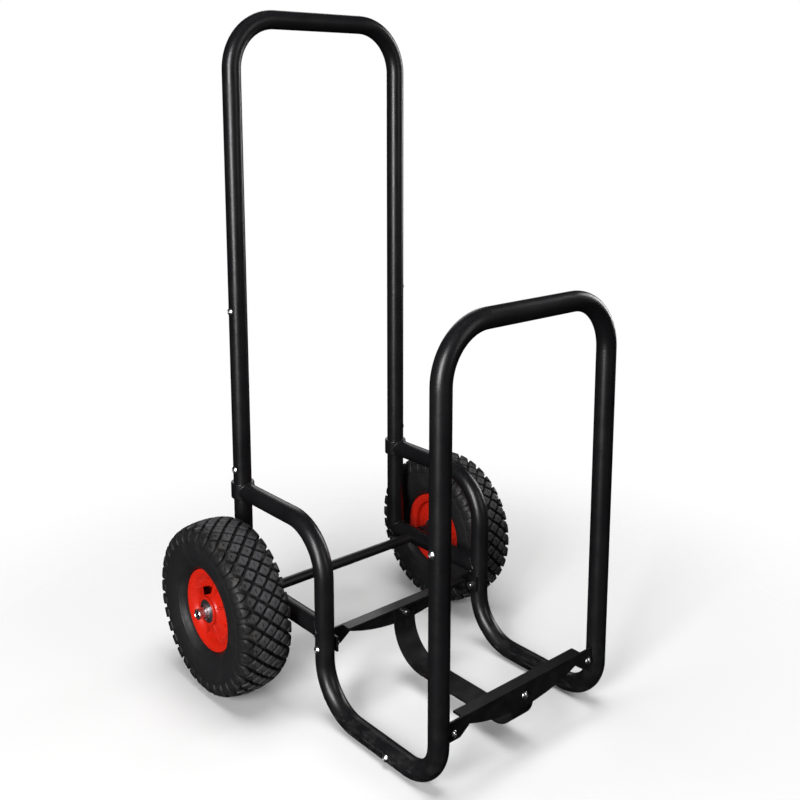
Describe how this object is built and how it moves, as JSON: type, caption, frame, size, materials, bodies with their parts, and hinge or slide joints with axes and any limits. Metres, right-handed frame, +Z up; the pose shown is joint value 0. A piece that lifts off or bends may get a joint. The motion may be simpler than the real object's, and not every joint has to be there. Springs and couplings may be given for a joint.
{
  "type": "firewood log rack",
  "caption": "Two-wheeled tubular steel firewood rack with a tall handle hoop, a front hoop, a bent-rail log cradle and pneumatic tyres.",
  "frame": {"origin": "on the ground under the centre of the bounding box", "axes": "+Z up, -Y towards the front hoop, +X to the right seen from behind the front hoop looking along +Y"},
  "size_m": [0.544, 0.542, 1.008],
  "materials": {
    "black_powder_coat": "satin black powder coat",
    "zinc_hardware": "bright zinc plate",
    "axle_steel": "zinc-plated steel tube, black between the wheels",
    "bearing_steel": "ground bearing steel",
    "tyre_rubber": "moulded black rubber with block tread",
    "tube_rubber": "smooth black butyl",
    "red_rim": "glossy red moulding",
    "black_plastic": "moulded black plastic"
  },
  "bodies": {
    "frame": {"arm_collar_left": "black_powder_coat", "arm_collar_right": "black_powder_coat", "axle": "axle_steel", "axle_collars": "zinc_hardware", "axle_spacer_left": "axle_steel", "axle_spacer_right": "axle_steel", "axle_strut_left": "black_powder_coat", "axle_strut_right": "black_powder_coat", "bearing_inner_rings_left": "bearing_steel", "bearing_inner_rings_right": "bearing_steel", "brace_bolts": "zinc_hardware", "brace_nuts": "zinc_hardware", "cradle_strap": "black_powder_coat", "foot_joint_bolts": "zinc_hardware", "foot_joint_rivet_nuts": "zinc_hardware", "front_brace": "black_powder_coat", "front_brace_lugs": "black_powder_coat", "front_foot_left": "black_powder_coat", "front_foot_right": "black_powder_coat", "front_hoop": "black_powder_coat", "handle_hoop": "black_powder_coat", "handle_joint_bolts": "zinc_hardware", "handle_joint_rivet_nuts": "zinc_hardware", "hoop_joint_bolts": "zinc_hardware", "hoop_joint_rivet_nuts": "zinc_hardware", "hub_sleeve_left": "bearing_steel", "hub_sleeve_right": "bearing_steel", "lower_post_left": "black_powder_coat", "lower_post_right": "black_powder_coat", "post_joint_bolts": "zinc_hardware", "post_joint_rivet_nuts": "zinc_hardware", "post_plug_left": "black_plastic", "post_plug_right": "black_plastic", "rail_bolts": "zinc_hardware", "rail_nuts": "zinc_hardware", "rear_brace": "black_powder_coat", "rear_post_left": "black_powder_coat", "rear_post_right": "black_powder_coat", "retaining_rings": "zinc_hardware", "side_rail_left": "black_powder_coat", "side_rail_right": "black_powder_coat", "strap_bolts": "zinc_hardware", "strap_nuts": "zinc_hardware"},
    "wheel_left": {"bearing_balls_left": "bearing_steel", "bearing_outer_rings_left": "bearing_steel", "bearing_shields_left": "bearing_steel", "inner_tube_left": "tube_rubber", "rim_left": "red_rim", "tyre_left": "tyre_rubber", "valve_cap_left": "black_plastic", "valve_stem_left": "tube_rubber"},
    "wheel_right": {"bearing_balls_right": "bearing_steel", "bearing_outer_rings_right": "bearing_steel", "bearing_shields_right": "bearing_steel", "inner_tube_right": "tube_rubber", "rim_right": "red_rim", "tyre_right": "tyre_rubber", "valve_cap_right": "black_plastic", "valve_stem_right": "tube_rubber"}
  },
  "joints": [
    {"name": "wheel_left_spin", "type": "hinge", "parent": "frame", "child": "wheel_left", "pos_m": [-0.226, 0.141, 0.13], "axis": [1, 0, 0], "continuous": true},
    {"name": "wheel_right_spin", "type": "hinge", "parent": "frame", "child": "wheel_right", "pos_m": [0.226, 0.141, 0.13], "axis": [1, 0, 0], "continuous": true}
  ]
}
